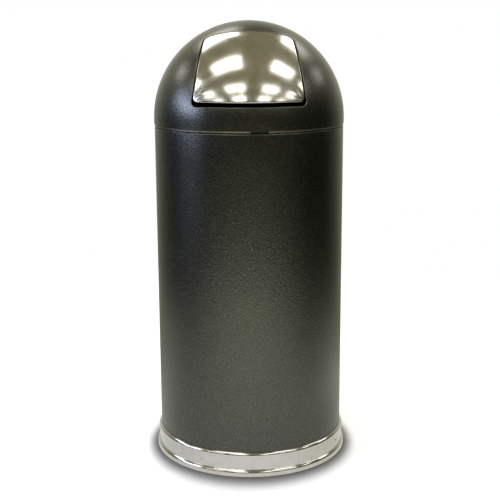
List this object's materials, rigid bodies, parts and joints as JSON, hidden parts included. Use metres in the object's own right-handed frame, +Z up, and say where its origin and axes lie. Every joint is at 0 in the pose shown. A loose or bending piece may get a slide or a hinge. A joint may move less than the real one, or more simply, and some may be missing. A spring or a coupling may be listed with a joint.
{
  "type": "dome top waste receptacle",
  "caption": "Round steel litter bin with lift-off dome, self-closing push door, polished base ring and a galvanised liner with a bail handle.",
  "frame": {"origin": "on the floor, at the middle of the base ring's underside", "axes": "+Z up, front with the push door towards -Y, +X to the right seen from the front"},
  "size_m": [0.4062, 0.4062, 0.9017],
  "materials": {
    "body_paint": "charcoal hammertone powder coat, semi-gloss",
    "dome_paint": "charcoal hammertone powder coat, semi-gloss",
    "pan_paint": "charcoal powder coat, matt",
    "ring_chrome": "mirror polished",
    "rivet_steel": "polished",
    "galvanised": "hot-dip zinc, spangled",
    "bail_wire": "zinc plated",
    "bracket_steel": "zinc plated",
    "rod_steel": "ground",
    "spring_steel": "bright drawn",
    "door_steel": "polished stainless steel",
    "nylon": "moulded",
    "rubber": "moulded"
  },
  "bodies": {
    "body": {"body_shell": "body_paint", "floor_pan": "pan_paint", "base_ring": "ring_chrome", "base_ring_rivets": "rivet_steel"},
    "liner": {"liner_shell": "galvanised", "liner_bottom": "galvanised", "liner_rim_wire": "galvanised", "bail_ear_left": "galvanised", "bail_ear_right": "galvanised", "ear_rivets": "rivet_steel"},
    "bail": {"bail_handle": "bail_wire"},
    "dome": {"dome_shell": "dome_paint", "locating_ring": "body_paint", "hinge_bracket_left": "bracket_steel", "hinge_bracket_right": "bracket_steel", "hinge_rod": "rod_steel", "rod_caps": "bracket_steel", "closing_spring_left": "spring_steel", "closing_spring_right": "spring_steel"},
    "door": {"door_panel": "door_steel", "door_arm_left": "bracket_steel", "door_arm_right": "bracket_steel", "hinge_bush_left": "nylon", "hinge_bush_right": "nylon", "stop_tab_left": "bracket_steel", "stop_tab_right": "bracket_steel", "stop_bumper_left": "rubber", "stop_bumper_right": "rubber"}
  },
  "joints": [
    {"name": "liner_lift", "type": "slide", "parent": "body", "child": "liner", "axis": [0, 0, 1], "range_m": [0, 0.68]},
    {"name": "dome_lift", "type": "slide", "parent": "liner", "child": "dome", "axis": [0, 0, 1], "range_m": [0, 0.25]},
    {"name": "door_swing", "type": "hinge", "parent": "dome", "child": "door", "pos_m": [0, -0.06157, 0.8756], "axis": [1, 0, 0], "range_deg": [0, 60], "stiffness_Nm_per_rad": 0.35, "springref_deg": -89.95, "deforming": ["closing_spring_left", "closing_spring_right"]},
    {"name": "bail_swing", "type": "hinge", "parent": "liner", "child": "bail", "pos_m": [0, 0, 0.6653], "axis": [1, 0, 0], "range_deg": [0, 180]}
  ]
}
